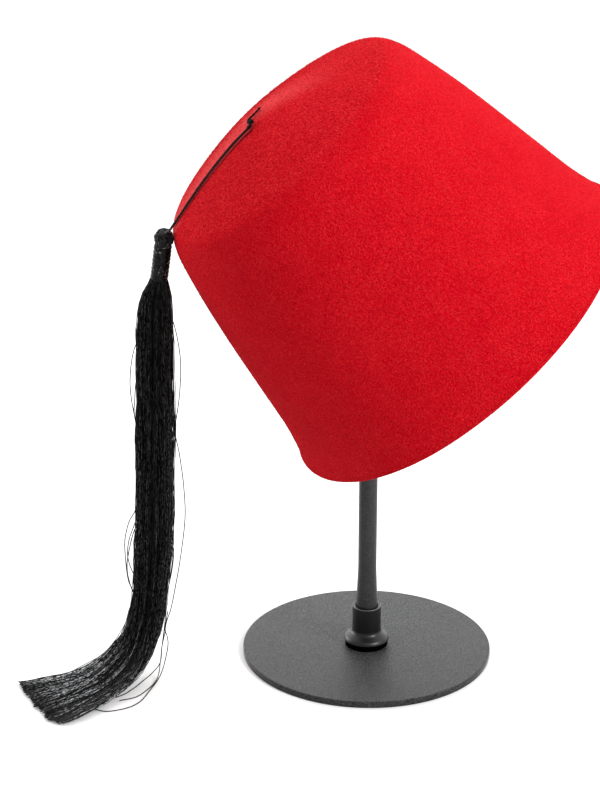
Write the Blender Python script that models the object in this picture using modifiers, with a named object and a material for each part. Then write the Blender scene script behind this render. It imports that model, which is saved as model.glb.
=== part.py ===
"""A red felt fez with a long black tassel, shown tilted on a small black metal stand.

Metres, +Z up.  The origin is the centre of the stand's underside, on the surface that it stands on.
+X runs to the right and +Y away from the side that shows the tassel.
The hat has a frame of its own, an empty at the middle of its rim whose +Z leaves through the crown.
"""
import math

import bmesh
import bpy
import numpy as np
from mathutils import Matrix, Vector

MM = 0.001
GAP = 0.3 * MM                    # clearance between pieces that touch

# Felt hat: one blocked shell, measured on its outer face.  The inside of the rim fits a 58 cm head.
FELT_WALL = 2.5 * MM
RIM_RADIUS = 95.0 * MM
CROWN_RADIUS = 66.5 * MM
SIDE_HEIGHT = 124.5 * MM          # rim edge to the crown's corner, before it is rounded
DOME_HEIGHT = 16.8 * MM           # how far the crown rises from its corner to its middle
DOME_POWER = 1.38                 # 1 is a cone, 2 a parabola
CORNER_ON_CROWN = 5.0 * MM        # how far the corner's rounding reaches over the crown
CORNER_ON_SIDE = 10.0 * MM        # and down the side
SIDE_BELLY = 2.4 * MM             # the side stands this far proud of a straight cone
RIM_FLARE = 3.2 * MM              # the last stretch opens out by this much
FLARE_START = 0.78                # share of the side where the flare begins
CROWN_SHARES = (0.0, 0.16, 0.34, 0.52, 0.70, 0.84)          # profile points, middle to corner
ROUNDING_SHARES = (0.0, 0.2, 0.4, 0.6, 0.8, 1.0)            # over the corner
SIDE_SHARES = (0.14, 0.3, 0.46, 0.6, 0.74)                  # from the corner to the flare
FLARE_SHARES = (0.84, 0.90, 0.95, 0.985)                    # and down the flare to the rim
HAT_STEPS = 52

# How the hat hangs on the stand.
RIM_CENTRE = Vector((39.0, -7.8, 171.55)) * MM
HAT_TILT = math.radians(41.65)
HAT_TURN = math.radians(11.87)

# Loop and cord on the crown, in the hat's frame, as seen from outside the crown:
# millimetres downhill from the middle, sideways, and down from the crown's highest point.
LOOP_RADIUS = 0.55 * MM
LOOP_ROUTE = (
    (-3.3, 1.1, -0.62),
    (-1.3, 2.0, -0.76),
    (0.9, 2.4, -0.74),
    (2.9, 1.9, -0.64),
    (4.6, 2.3, -0.42),
    (5.3, 3.9, -0.22),
    (5.0, 5.6, -0.10),
    (4.3, 7.3, -0.10),
)
KNOT_PLACE = (4.0, 8.3, -0.85)
KNOT_RADIUS = 1.45 * MM
STRAND_RADIUS = 0.42 * MM
CORD_ROUTE = (
    (5.9, 8.6, 0.30),
    (8.4, 7.7, 0.60),
    (11.0, 6.8, 1.00),
    (16.0, 5.2, 1.75),
    (20.9, 3.6, 2.70),
    (25.8, 2.1, 3.80),
    (30.8, 0.5, 5.00),
    (35.7, -1.1, 6.35),
    (40.6, -2.7, 7.75),
    (45.5, -4.2, 9.20),
    (50.5, -5.8, 10.75),
    (55.4, -7.4, 12.40),
    (59.6, -8.7, 13.75),
    (62.6, -8.75, 14.42),
    (65.14, -8.02, 14.81),
)
STRAND_APART = 0.62 * MM          # half the distance between the two strands at their ends
STRAND_BOW = 0.45 * MM            # and how much more it is half way

# Tassel: a ball-ended head with a bound neck, and locks that hang to the floor and fan out on it.
KNOB_CENTRE = Vector((-94.35, -31.2, 221.15)) * MM
NECK_END = Vector((-97.2, -26.5, 201.3)) * MM
KNOB_RADIUS = 4.2 * MM
NECK_RADIUS = 3.0 * MM
NECK_ROOT = 3.8 * MM              # below the knob's centre
SKIRT_CORE_RADIUS = 4.4 * MM
SKIRT_CORE_LENGTH = 15.0 * MM
TASSEL_STEPS = 16
BINDING_TOP = 4.4 * MM            # below the knob's centre
BINDING_TOP_RADIUS = 4.2 * MM
BINDING_FOOT_RADIUS = 4.0 * MM
BINDING_SWELL = 0.1 * MM          # how much fuller it is half way
BINDING_ROUNDING = 0.5 * MM       # its ends are rounded over this height
BINDING_STEPS = 24
FAN_ACROSS = Vector((-0.62, 0.78, 0.0)).normalized()
# Middle of the skirt from the neck to the cut ends, in millimetres.  "spread" and "depth" are how
# far the outer locks lie from the middle, across the fan and through it, and "lock" their radius.
SKIRT_COLUMNS = ("x", "y", "z", "spread", "depth", "lock")
SKIRT = (
    (-97.4, -26.3, 199.8, 1.7, 1.7, 2.0),
    (-97.8, -25.9, 196.9, 2.9, 2.6, 2.5),
    (-98.4, -25.8, 193.0, 3.9, 3.5, 2.8),
    (-99.2, -25.8, 186.0, 4.8, 4.1, 3.1),
    (-99.9, -25.5, 166.0, 5.6, 4.6, 3.2),
    (-100.5, -25.0, 141.5, 5.6, 4.8, 3.2),
    (-101.3, -24.5, 116.5, 6.3, 5.0, 3.4),
    (-102.1, -24.0, 91.0, 6.0, 5.0, 3.3),
    (-103.3, -23.5, 70.0, 6.3, 4.8, 3.3),
    (-104.8, -23.2, 49.0, 5.8, 4.5, 3.2),
    (-106.4, -23.1, 35.5, 5.8, 4.2, 3.2),
    (-109.2, -24.0, 24.0, 6.6, 3.8, 3.1),
    (-112.7, -26.6, 15.5, 7.7, 3.0, 3.0),
    (-117.9, -31.0, 9.8, 9.8, 1.8, 2.9),
    (-124.0, -37.1, 6.2, 11.2, 0.8, 2.7),
    (-131.8, -44.3, 4.0, 13.5, 0.0, 2.4),
    (-141.5, -51.4, 3.0, 17.0, 0.0, 2.0),
    (-150.6, -55.8, 2.2, 21.1, 0.0, 1.3),
    (-160.0, -60.4, 1.2, 24.4, 0.0, 0.45),
)
RING_LOCKS = 8                    # locks round the one in the middle
MIDDLE_LOCK_GIRTH = 1.4           # the middle lock is this much thicker, so the bundle is solid

# Stand: a round foot, a turned collar, a thin post and the plain head that carries the hat.
FOOT_RADIUS = 61.6 * MM
FOOT_THICKNESS = 3.2 * MM
FOOT_EDGE = 0.9 * MM
FOOT_SEGMENTS = 72
POST_TOP_RADIUS = 4.5 * MM
POST_FOOT_RADIUS = 5.2 * MM
POST_FLARE_HEIGHT = 48.0 * MM     # the post thickens slightly below this
HEAD_CENTRE_HEIGHT = 260.8 * MM   # middle of the head's dome, which touches the hat's upper wall
HEAD_RADIUS = 36.0 * MM
HEAD_SKIRT = 7.0 * MM             # from the dome's middle down to the flat underside
HEAD_EDGE = 3.0 * MM
COLLAR_HEIGHT = 24.5 * MM
COLLAR_RADIUS = 7.1 * MM
COLLAR_EDGE = 0.6 * MM            # chamfer of its top edge
BELL_RADIUS = 11.3 * MM
BELL_TOP = 8.6 * MM               # height at which the barrel turns out into the bell
BELL_LIP = 5.4 * MM               # height of the bell's lower edge
BELL_UNDERCUT = 10.5 * MM         # radius of the foot under it
STAND_STEPS = 32

for old in list(bpy.data.objects):
    bpy.data.objects.remove(old, do_unlink=True)

PARTS = bpy.data.collections.new("fez_on_stand")
HELPERS = bpy.data.collections.new("helpers")
for collection in (PARTS, HELPERS):
    bpy.context.scene.collection.children.link(collection)


def make_material(name, colour, roughness, metallic=0.0):
    """A plain Principled material in one colour."""
    material = bpy.data.materials.new(name)
    material.use_nodes = True
    shader = material.node_tree.nodes["Principled BSDF"]
    shader.inputs["Base Color"].default_value = (*colour, 1.0)
    shader.inputs["Roughness"].default_value = roughness
    shader.inputs["Metallic"].default_value = metallic
    material.diffuse_color = (*colour, 1.0)
    return material


RED_FELT = make_material("red_felt", (0.62, 0.012, 0.016), 0.95)
BLACK_THREAD = make_material("black_thread", (0.010, 0.010, 0.011), 0.55)
BLACK_METAL = make_material("black_metal", (0.070, 0.072, 0.076), 0.5, 0.6)


def add_object(name, data, material=None, parent=None, collection=PARTS):
    """Link a new object under its own name."""
    made = bpy.data.objects.new(name, data)
    collection.objects.link(made)
    if parent is not None:
        made.parent = parent
    if material is not None:
        data.materials.append(material)
    return made


def shade_round(mesh, sharp_degrees=40.0):
    """Smooth shading that keeps the real edges."""
    mesh.shade_smooth()
    mesh.set_sharp_from_angle(angle=math.radians(sharp_degrees))


def turned(name, profile, steps, material, parent=None):
    """A body turned about its own Z from (radius, height) points that run down its outer side."""
    mesh = bpy.data.meshes.new(name)
    points = [(radius, 0.0, height) for radius, height in profile]
    mesh.from_pydata(points, [(i, i + 1) for i in range(len(points) - 1)], [])
    made = add_object(name, mesh, material, parent)
    screw = made.modifiers.new("turn", "SCREW")
    screw.axis = "Z"
    screw.steps = steps
    screw.render_steps = steps
    screw.use_merge_vertices = True
    screw.merge_threshold = 1e-5
    screw.use_smooth_shade = True
    return made


def arc(centre, radius, start_degrees, end_degrees, count):
    """Points of an arc in the (radius, height) plane, both ends included."""
    angles = np.radians(np.linspace(start_degrees, end_degrees, count))
    return [(centre[0] + radius * math.cos(a), centre[1] + radius * math.sin(a)) for a in angles]


def smooth_rows(rows, per_span):
    """A smooth curve through rows of numbers: cubic spans with slopes taken from the neighbours."""
    rows = np.array(rows, dtype=float)
    slopes = np.gradient(rows, axis=0)
    made = []
    for i in range(len(rows) - 1):
        for step in range(per_span):
            t = step / per_span
            made.append(
                (2 * t**3 - 3 * t**2 + 1) * rows[i] + (t**3 - 2 * t**2 + t) * slopes[i]
                + (3 * t**2 - 2 * t**3) * rows[i + 1] + (t**3 - t**2) * slopes[i + 1])
    made.append(rows[-1])
    return np.array(made)


def tube(name, points, radii, material=None, collection=PARTS):
    """A round tube along world points, with a radius at each of them and closed ends."""
    curve = bpy.data.curves.new(name, "CURVE")
    curve.dimensions = "3D"
    curve.bevel_depth = 1.0
    curve.bevel_resolution = 2
    curve.use_fill_caps = True
    curve.render_resolution_u = 0
    spline = curve.splines.new("POLY")
    spline.points.add(len(points) - 1)
    for place, point, radius in zip(spline.points, points, radii):
        place.co = (*point, 1.0)
        place.radius = radius
    return add_object(name, curve, material, None, collection)


def as_mesh(source):
    """Replace a curve object by its mesh, with its caps welded on."""
    bpy.context.view_layer.update()
    mesh = bpy.data.meshes.new_from_object(source.evaluated_get(bpy.context.evaluated_depsgraph_get()))
    welded = bmesh.new()
    welded.from_mesh(mesh)
    bmesh.ops.remove_doubles(welded, verts=welded.verts, dist=1e-6)
    welded.to_mesh(mesh)
    welded.free()
    name = source.name
    collection = source.users_collection[0]
    place = source.matrix_world.copy()
    bpy.data.objects.remove(source, do_unlink=True)
    made = add_object(name, mesh, None, None, collection)
    made.matrix_world = place
    return made


def fuse(target, pieces):
    """Join helper solids to a part, one Boolean union each."""
    for piece in pieces:
        piece.hide_render = True
        piece.display_type = "WIRE"
        union = target.modifiers.new("fuse_" + piece.name, "BOOLEAN")
        union.operation = "UNION"
        union.object = piece


def hat_frame():
    """The empty at the middle of the rim, with +Z out through the crown and -X downhill."""
    empty = add_object("hat_frame", None, collection=HELPERS)
    empty.location = RIM_CENTRE
    empty.rotation_euler = (0.0, -HAT_TILT, HAT_TURN)
    bpy.context.view_layer.update()
    return empty


def felt_outline():
    """The hat's outer face from the middle of the crown to the rim, as (radius, height) points."""
    crown = []
    for share in CROWN_SHARES:
        radius = share * CROWN_RADIUS
        crown.append((radius, SIDE_HEIGHT + DOME_HEIGHT * (1.0 - share**DOME_POWER)))

    def side_point(share):
        straight = CROWN_RADIUS + (RIM_RADIUS - RIM_FLARE - CROWN_RADIUS) * share
        belly = SIDE_BELLY * (share / 0.4)**0.8 * ((1.0 - share) / 0.6)**1.2
        flare = RIM_FLARE * (max(0.0, share - FLARE_START) / (1.0 - FLARE_START))**2
        return (straight + belly + flare, SIDE_HEIGHT * (1.0 - share))

    edge_share = 1.0 - CORNER_ON_CROWN / CROWN_RADIUS
    before = (edge_share * CROWN_RADIUS, SIDE_HEIGHT + DOME_HEIGHT * (1.0 - edge_share**DOME_POWER))
    corner = (CROWN_RADIUS, SIDE_HEIGHT)
    after_share = CORNER_ON_SIDE / SIDE_HEIGHT
    after = side_point(after_share)
    rounding = []
    for t in ROUNDING_SHARES:
        rounding.append(tuple(
            (1 - t)**2 * before[k] + 2 * t * (1 - t) * corner[k] + t**2 * after[k] for k in (0, 1)))
    side = [side_point(after_share + (1.0 - after_share) * t) for t in SIDE_SHARES]
    flare = [side_point(share) for share in FLARE_SHARES]
    return crown + rounding + side + flare


def make_felt_crown(frame):
    """The blocked felt: outer face, rounded rim edge and the same face one wall further in."""
    outer = felt_outline()
    points = np.array(outer)
    along = np.gradient(points, axis=0)
    along /= np.linalg.norm(along, axis=1)[:, None]
    inward = np.stack([along[:, 1], -along[:, 0]], axis=1)
    inward[0] = (0.0, -1.0)
    inner = points + FELT_WALL * inward
    half = FELT_WALL / 2.0
    edge_centre = (RIM_RADIUS - half, half * 0.9)
    edge = arc(edge_centre, half, 10.0, -190.0, 6)
    profile = outer + edge + [tuple(point) for point in inner[::-1]]
    return turned("felt_crown", profile, HAT_STEPS, RED_FELT, frame)


def crown_places(frame, route):
    """World places of (downhill, sideways, down) rows in millimetres from the crown's middle."""
    top = SIDE_HEIGHT + DOME_HEIGHT
    local = [Vector((-down_hill * MM, -side * MM, top - drop * MM)) for down_hill, side, drop in route]
    return [frame.matrix_world @ place for place in local]


def make_crown_loop(frame):
    """The thread hook that leaves the middle of the crown, fused to the knot that holds the cord."""
    places = crown_places(frame, smooth_rows(LOOP_ROUTE, 2))
    knot_mesh = bpy.data.meshes.new("crown_loop")
    ball = bmesh.new()
    bmesh.ops.create_uvsphere(ball, u_segments=12, v_segments=8, radius=KNOT_RADIUS)
    ball.to_mesh(knot_mesh)
    ball.free()
    shade_round(knot_mesh)
    knot = add_object("crown_loop", knot_mesh, BLACK_THREAD)
    knot.location = crown_places(frame, (KNOT_PLACE,))[0]
    hook = as_mesh(tube("loop_hook", places, [LOOP_RADIUS] * len(places), collection=HELPERS))
    fuse(knot, [hook])


def make_cord(frame):
    """Two strands side by side from the knot, over the crown and its edge, to the tassel's knob."""
    middle = smooth_rows(CORD_ROUTE, 2)
    heading = np.gradient(middle[:, :2], axis=0)
    heading /= np.linalg.norm(heading, axis=1)[:, None]
    share = np.linspace(0.0, 1.0, len(middle))
    apart = (STRAND_APART + STRAND_BOW * np.sin(np.pi * share)) / MM
    for name, sign in (("cord_strand_near", 1.0), ("cord_strand_far", -1.0)):
        route = middle.copy()
        route[:, 0] -= sign * heading[:, 1] * apart
        route[:, 1] += sign * heading[:, 0] * apart
        places = crown_places(frame, route)
        tube(name, places, [STRAND_RADIUS] * len(places), BLACK_THREAD)


def tassel_frame():
    """The empty at the middle of the tassel's knob, with +Z up along the bound neck."""
    empty = add_object("tassel_frame", None, collection=HELPERS)
    empty.location = KNOB_CENTRE
    empty.rotation_mode = "QUATERNION"
    empty.rotation_quaternion = (KNOB_CENTRE - NECK_END).to_track_quat("Z", "Y")
    bpy.context.view_layer.update()
    return empty


def lock_rows(across, through, girth):
    """World points and radii of one lock, from its place across the bundle and through it."""
    rows = smooth_rows(SKIRT, 1)
    column = {name: rows[:, i] * MM for i, name in enumerate(SKIRT_COLUMNS)}
    middle = np.stack([column["x"], column["y"], column["z"]], axis=1)
    heading = np.gradient(middle, axis=0)
    heading /= np.linalg.norm(heading, axis=1)[:, None]
    sideways = np.array(FAN_ACROSS)
    depthways = np.cross(heading, sideways)
    points = (middle + sideways * (across * column["spread"])[:, None]
              + depthways * (through * column["depth"])[:, None])
    radii = column["lock"] * girth
    points[:, 2] = np.maximum(points[:, 2], radii + GAP)
    return points, radii


def make_tassel(frame):
    """Knob, neck and the root of the skirt as one turned core, with the locks fused to it."""
    neck_length = (KNOB_CENTRE - NECK_END).length
    root = -neck_length - GAP
    profile = arc((0.0, 0.0), KNOB_RADIUS, 90.0, -48.0, 8) + [
        (NECK_RADIUS, -NECK_ROOT),
        (NECK_RADIUS, root),
        (SKIRT_CORE_RADIUS, root - GAP * 8),
        (SKIRT_CORE_RADIUS, root - SKIRT_CORE_LENGTH * 0.6),
        (0.0, root - SKIRT_CORE_LENGTH),
    ]
    core = turned("tassel", profile, TASSEL_STEPS, BLACK_THREAD, frame)
    places = [(0.0, 0.0, MIDDLE_LOCK_GIRTH)]
    # Each lock keeps its order from side to side on its way from the round bundle to the flat fan.
    for k in range(RING_LOCKS):
        angle = 2.0 * math.pi * (k + 0.25) / RING_LOCKS
        places.append((math.cos(angle), math.sin(angle), 1.0))
    locks = []
    for number, (across, through, girth) in enumerate(places):
        points, radii = lock_rows(across, through, girth)
        locks.append(as_mesh(tube("lock_%d" % number, points, radii, collection=HELPERS)))
    fuse(core, locks)


def make_binding(frame):
    """The wound sleeve round the neck."""
    foot = -(KNOB_CENTRE - NECK_END).length
    inside = NECK_RADIUS + GAP
    middle_radius = (BINDING_TOP_RADIUS + BINDING_FOOT_RADIUS) / 2.0 + BINDING_SWELL
    profile = [
        (inside, -BINDING_TOP),
        (BINDING_TOP_RADIUS - BINDING_ROUNDING / 2.0, -BINDING_TOP),
        (BINDING_TOP_RADIUS, -BINDING_TOP - BINDING_ROUNDING),
        (middle_radius, (foot - BINDING_TOP) / 2.0),
        (BINDING_FOOT_RADIUS, foot + BINDING_ROUNDING),
        (BINDING_FOOT_RADIUS - BINDING_ROUNDING / 2.0, foot),
        (inside, foot),
        (inside, -BINDING_TOP),
    ]
    turned("tassel_binding", profile, BINDING_STEPS, BLACK_THREAD, frame)


def make_foot():
    """The flat round plate that the stand rests on, with a rounded edge."""
    mesh = bpy.data.meshes.new("stand_foot_plate")
    plate = bmesh.new()
    bmesh.ops.create_cone(
        plate, cap_ends=True, segments=FOOT_SEGMENTS, radius1=FOOT_RADIUS, radius2=FOOT_RADIUS,
        depth=FOOT_THICKNESS, matrix=Matrix.Translation((0.0, 0.0, FOOT_THICKNESS / 2.0)))
    plate.to_mesh(mesh)
    plate.free()
    made = add_object("stand_foot_plate", mesh, BLACK_METAL)
    rounded = made.modifiers.new("rounded_edge", "BEVEL")
    rounded.width = FOOT_EDGE
    rounded.segments = 2
    rounded.limit_method = "ANGLE"
    rounded.angle_limit = math.radians(40.0)
    shade_round(mesh)


def make_collar():
    """The turned collar: a straight barrel that opens into a bell over a slightly narrower foot."""
    seat = FOOT_THICKNESS + GAP
    inside = POST_FOOT_RADIUS + GAP
    profile = [
        (inside, COLLAR_HEIGHT),
        (COLLAR_RADIUS - COLLAR_EDGE, COLLAR_HEIGHT),
        (COLLAR_RADIUS, COLLAR_HEIGHT - COLLAR_EDGE),
        (COLLAR_RADIUS, BELL_TOP + 1.6 * MM),
        (COLLAR_RADIUS + 0.5 * MM, BELL_TOP + 0.3 * MM),
        (BELL_RADIUS - 1.2 * MM, BELL_TOP - 0.9 * MM),
        (BELL_RADIUS, BELL_LIP + 0.8 * MM),
        (BELL_RADIUS - 0.2 * MM, BELL_LIP),
        (BELL_UNDERCUT, BELL_LIP - 0.3 * MM),
        (BELL_UNDERCUT, seat),
        (inside, seat),
        (inside, COLLAR_HEIGHT),
    ]
    turned("stand_collar", profile, STAND_STEPS, BLACK_METAL)


def make_post():
    """The thin round post, slightly thicker at its foot, from the plate up into the hat."""
    top = HEAD_CENTRE_HEIGHT - HEAD_SKIRT - GAP
    profile = [
        (0.0, top),
        (POST_TOP_RADIUS, top),
        (POST_TOP_RADIUS, POST_FLARE_HEIGHT),
        (POST_FOOT_RADIUS, COLLAR_HEIGHT),
        (POST_FOOT_RADIUS, FOOT_THICKNESS + GAP),
        (0.0, FOOT_THICKNESS + GAP),
    ]
    turned("stand_post", profile, STAND_STEPS, BLACK_METAL)


def make_head():
    """The plain domed head in the hat, with a flat underside on the post."""
    underside = HEAD_CENTRE_HEIGHT - HEAD_SKIRT
    edge_centre = (HEAD_RADIUS - HEAD_EDGE, underside + HEAD_EDGE)
    profile = arc((0.0, HEAD_CENTRE_HEIGHT), HEAD_RADIUS, 90.0, 0.0, 9)
    profile += arc(edge_centre, HEAD_EDGE, 0.0, -90.0, 4)
    profile.append((0.0, underside))
    turned("stand_head", profile, STAND_STEPS, BLACK_METAL)


hat = hat_frame()
make_felt_crown(hat)
make_crown_loop(hat)
make_cord(hat)
tassel = tassel_frame()
make_tassel(tassel)
make_binding(tassel)
make_foot()
make_collar()
make_post()
make_head()
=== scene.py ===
import math

import bmesh
import bpy
import numpy as np
from mathutils import Matrix, Vector


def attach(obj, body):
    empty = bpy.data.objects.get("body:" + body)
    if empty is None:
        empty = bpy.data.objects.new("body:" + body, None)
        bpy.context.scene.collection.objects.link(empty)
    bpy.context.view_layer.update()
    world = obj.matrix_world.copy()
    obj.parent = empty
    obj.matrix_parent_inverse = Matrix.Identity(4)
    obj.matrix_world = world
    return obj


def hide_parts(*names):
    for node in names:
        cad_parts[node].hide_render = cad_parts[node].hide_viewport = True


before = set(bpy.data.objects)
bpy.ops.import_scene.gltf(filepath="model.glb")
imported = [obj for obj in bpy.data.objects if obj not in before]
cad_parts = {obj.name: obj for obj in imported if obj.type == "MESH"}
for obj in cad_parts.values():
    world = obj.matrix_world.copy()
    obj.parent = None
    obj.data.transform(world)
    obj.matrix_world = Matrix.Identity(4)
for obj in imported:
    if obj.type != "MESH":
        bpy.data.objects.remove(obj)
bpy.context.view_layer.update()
MM = 0.001


# ------------------------------------- foot plate
# A flat round disc of 3.2 mm steel, 123 mm across, which the stand rests on.
# It is laser cut, its edges are rounded over, and it is powder coated in a fine-grained black.
FOOT_RADIUS = 61.6 * MM
FOOT_THICKNESS = 3.2 * MM
FOOT_EDGE = 0.9 * MM
FOOT_STEPS = 160
FOOT_BLACK = (0.0070, 0.0072, 0.0072)
CORNER_POINTS = 7
BARE_STEEL = (0.12, 0.115, 0.11)


def feed(node, inputs):
    """Set a node's inputs: another node's socket is linked, a value is set."""
    for name, value in inputs.items():
        if isinstance(value, bpy.types.NodeSocket):
            node.id_data.links.new(value, node.inputs[name])
        else:
            node.inputs[name].default_value = value


def put(tree, kind, inputs=None, **settings):
    """Add a node to a tree, with its settings and inputs."""
    node = tree.nodes.new(kind)
    for name, value in settings.items():
        setattr(node, name, value)
    feed(node, inputs or {})
    return node


def out(tree, kind, inputs=None, **settings):
    """Add a node to a tree, for its first output."""
    return put(tree, kind, inputs, **settings).outputs[0]


def calc(operation, a, b=0.0):
    """One Math node, in the tree of the sockets that it is given."""
    tree = (a if isinstance(a, bpy.types.NodeSocket) else b).id_data
    return out(tree, "ShaderNodeMath", {0: a, 1: b}, operation=operation)


def add(value, *others):
    """The sum of sockets and numbers."""
    for other in others:
        value = calc("ADD", value, other)
    return value


def mul(value, *others):
    """The product of sockets and numbers."""
    for other in others:
        value = calc("MULTIPLY", value, other)
    return value


def sub(a, b):
    """The difference of two sockets, or of a socket and a number."""
    return calc("SUBTRACT", a, b)


def fade(value, start, end, low=0.0, high=1.0, smooth=False):
    """Goes from low to high while the value goes from start to end, and stays there beyond."""
    return out(value.id_data, "ShaderNodeMapRange", {
        "Value": value, "From Min": start, "From Max": end, "To Min": low, "To Max": high},
        interpolation_type="SMOOTHSTEP" if smooth else "LINEAR")


def vector(operation, a, b=None):
    """One Vector Math node; b is a vector, or the number to scale by."""
    node = put(a.id_data, "ShaderNodeVectorMath", {0: a}, operation=operation)
    if b is not None:
        feed(node, {"Scale" if operation == "SCALE" else 1: b})
    return node.outputs["Value" if operation == "DOT_PRODUCT" else "Vector"]


def split(place):
    """The X, Y and Z of a vector."""
    return put(place.id_data, "ShaderNodeSeparateXYZ", {0: place}).outputs


def join(x, y, z):
    """A vector of three numbers."""
    return out(x.id_data, "ShaderNodeCombineXYZ", {"X": x, "Y": y, "Z": z})


def noise(place, scale, detail=2.0, roughness=0.5, channel=0):
    """Noise at a place."""
    return put(place.id_data, "ShaderNodeTexNoise", {
        "Vector": place, "Scale": scale, "Detail": detail, "Roughness": roughness}).outputs[channel]


def blend(share, a, b):
    """A mix of two colours, each a socket or red, green and blue."""
    a, b = ((*c, 1.0) if isinstance(c, tuple) else c for c in (a, b))
    return put(share.id_data, "ShaderNodeMix", {0: share, 6: a, 7: b}, data_type="RGBA").outputs[2]


def new_material(name):
    """A material, with its shader and the piece's own coordinates."""
    material = bpy.data.materials.new(name)
    material.use_nodes = True
    spot = put(material.node_tree, "ShaderNodeTexCoord").outputs["Object"]
    return material, material.node_tree.nodes["Principled BSDF"], spot


def show(name, data):
    """An object in the scene."""
    made = bpy.data.objects.new(name, data)
    bpy.context.scene.collection.objects.link(made)
    return made


def open_tree(name, inputs):
    """A geometry node tree with named inputs; returns it with its Group Input's sockets."""
    tree = bpy.data.node_groups.new(name, "GeometryNodeTree")
    for label, kind in inputs.items():
        tree.interface.new_socket(label, in_out="INPUT", socket_type="NodeSocket" + kind)
    tree.interface.new_socket("Piece", in_out="OUTPUT", socket_type="NodeSocketGeometry")
    return tree, tree.nodes.new("NodeGroupInput").outputs


def close_tree(tree, geometry, finish):
    """End a tree in plain geometry that carries its material."""
    real = out(tree, "GeometryNodeRealizeInstances", {"Geometry": geometry})
    smooth = out(tree, "GeometryNodeSetShadeSmooth", {"Geometry": real})
    dressed = out(tree, "GeometryNodeSetMaterial", {"Geometry": smooth, "Material": finish})
    put(tree, "NodeGroupOutput", {0: dressed})
    return tree


def line_mesh(name, *lines):
    """Lines of points as a mesh of edges."""
    points, edges = [], []
    for line in lines:
        edges += [(len(points) + i, len(points) + i + 1) for i in range(len(line) - 1)]
        points += [tuple(p) for p in line]
    mesh = bpy.data.meshes.new(name)
    mesh.from_pydata(points, edges, [])
    return mesh


def grow(name, base, tree, sizes, place=None):
    """Run a tree on a base mesh with its named inputs, and keep the result as a plain mesh in place."""
    source = show(name + "_base", base)
    nodes = source.modifiers.new("grow", "NODES")
    nodes.node_group = tree
    for item in tree.interface.items_tree:
        if item.in_out == "INPUT" and item.name in sizes:
            nodes[item.identifier] = sizes[item.name]
    bpy.context.view_layer.update()
    mesh = bpy.data.meshes.new_from_object(source.evaluated_get(bpy.context.evaluated_depsgraph_get()))
    mesh.name = name
    if place is not None:
        mesh.transform(place)
    bpy.data.objects.remove(source, do_unlink=True)
    return show(name, mesh)


def lathe():
    """Turns a profile, a line of points in the XZ plane that runs down its outer side, about Z."""
    tree, given = open_tree("lathe", {
        "Profile": "Geometry", "Steps": "Int", "Unevenness": "Float", "Finish": "Material"})
    here = out(tree, "GeometryNodeInputPosition")
    rows = put(tree, "GeometryNodeAttributeDomainSize", {"Geometry": given["Profile"]}).outputs["Point Count"]
    grid = out(tree, "GeometryNodeMeshGrid", {"Vertices X": add(given["Steps"], 1.0), "Vertices Y": rows})
    column, row, _ = split(here)
    angle = mul(add(column, 0.5), 2.0 * math.pi)
    index = calc("ROUND", mul(add(row, 0.5), sub(rows, 1.0)))
    point = out(tree, "GeometryNodeSampleIndex", {
        "Geometry": given["Profile"], "Value": here, "Index": index}, data_type="FLOAT_VECTOR")
    radius, _, height = split(point)
    turned = join(mul(radius, calc("COSINE", angle)), mul(radius, calc("SINE", angle)), height)
    moved = out(tree, "GeometryNodeSetPosition", {"Geometry": grid, "Position": turned})
    closed = out(tree, "GeometryNodeMergeByDistance", {"Geometry": moved, "Distance": 1e-6})
    outward = out(tree, "GeometryNodeFlipFaces", {"Mesh": closed})
    wobble = out(tree, "ShaderNodeTexNoise", {"Scale": 14.0, "Detail": 1.0}, normalize=False)
    radial = vector("NORMALIZE", vector("MULTIPLY", here, (1.0, 1.0, 0.0)))
    offset = vector("SCALE", radial, mul(wobble, given["Unevenness"]))
    uneven = out(tree, "GeometryNodeSetPosition", {"Geometry": outward, "Offset": offset})
    return close_tree(tree, uneven, given["Finish"])


def round_corners(profile, radii):
    """A profile whose corners are rounded by the radius given for each; 0 keeps a corner."""
    made = []
    t = np.linspace(0.0, 1.0, CORNER_POINTS)[:, None]
    for i, radius in enumerate(radii):
        if not radius:
            made.append(profile[i])
            continue
        a, c, b = (np.array(p) for p in profile[i - 1:i + 2])
        a = c + (a - c) / np.linalg.norm(a - c) * radius
        b = c + (b - c) / np.linalg.norm(b - c) * radius
        curve = (1 - t)**2 * a + 1.1 * t * (1 - t) * 2 * c - 0.2 * t * (1 - t) * (a + b) / 2 + t**2 * b
        made += [tuple(p) for p in curve]
    return made


def turn(name, profile, steps, finish, place=None, unevenness=0.0):
    """One piece off the lathe, from (radius, height) points."""
    base = line_mesh(name, [(radius, 0.0, height) for radius, height in profile])
    return grow(name, base, LATHE, {"Steps": steps, "Unevenness": unevenness, "Finish": finish}, place)


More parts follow.
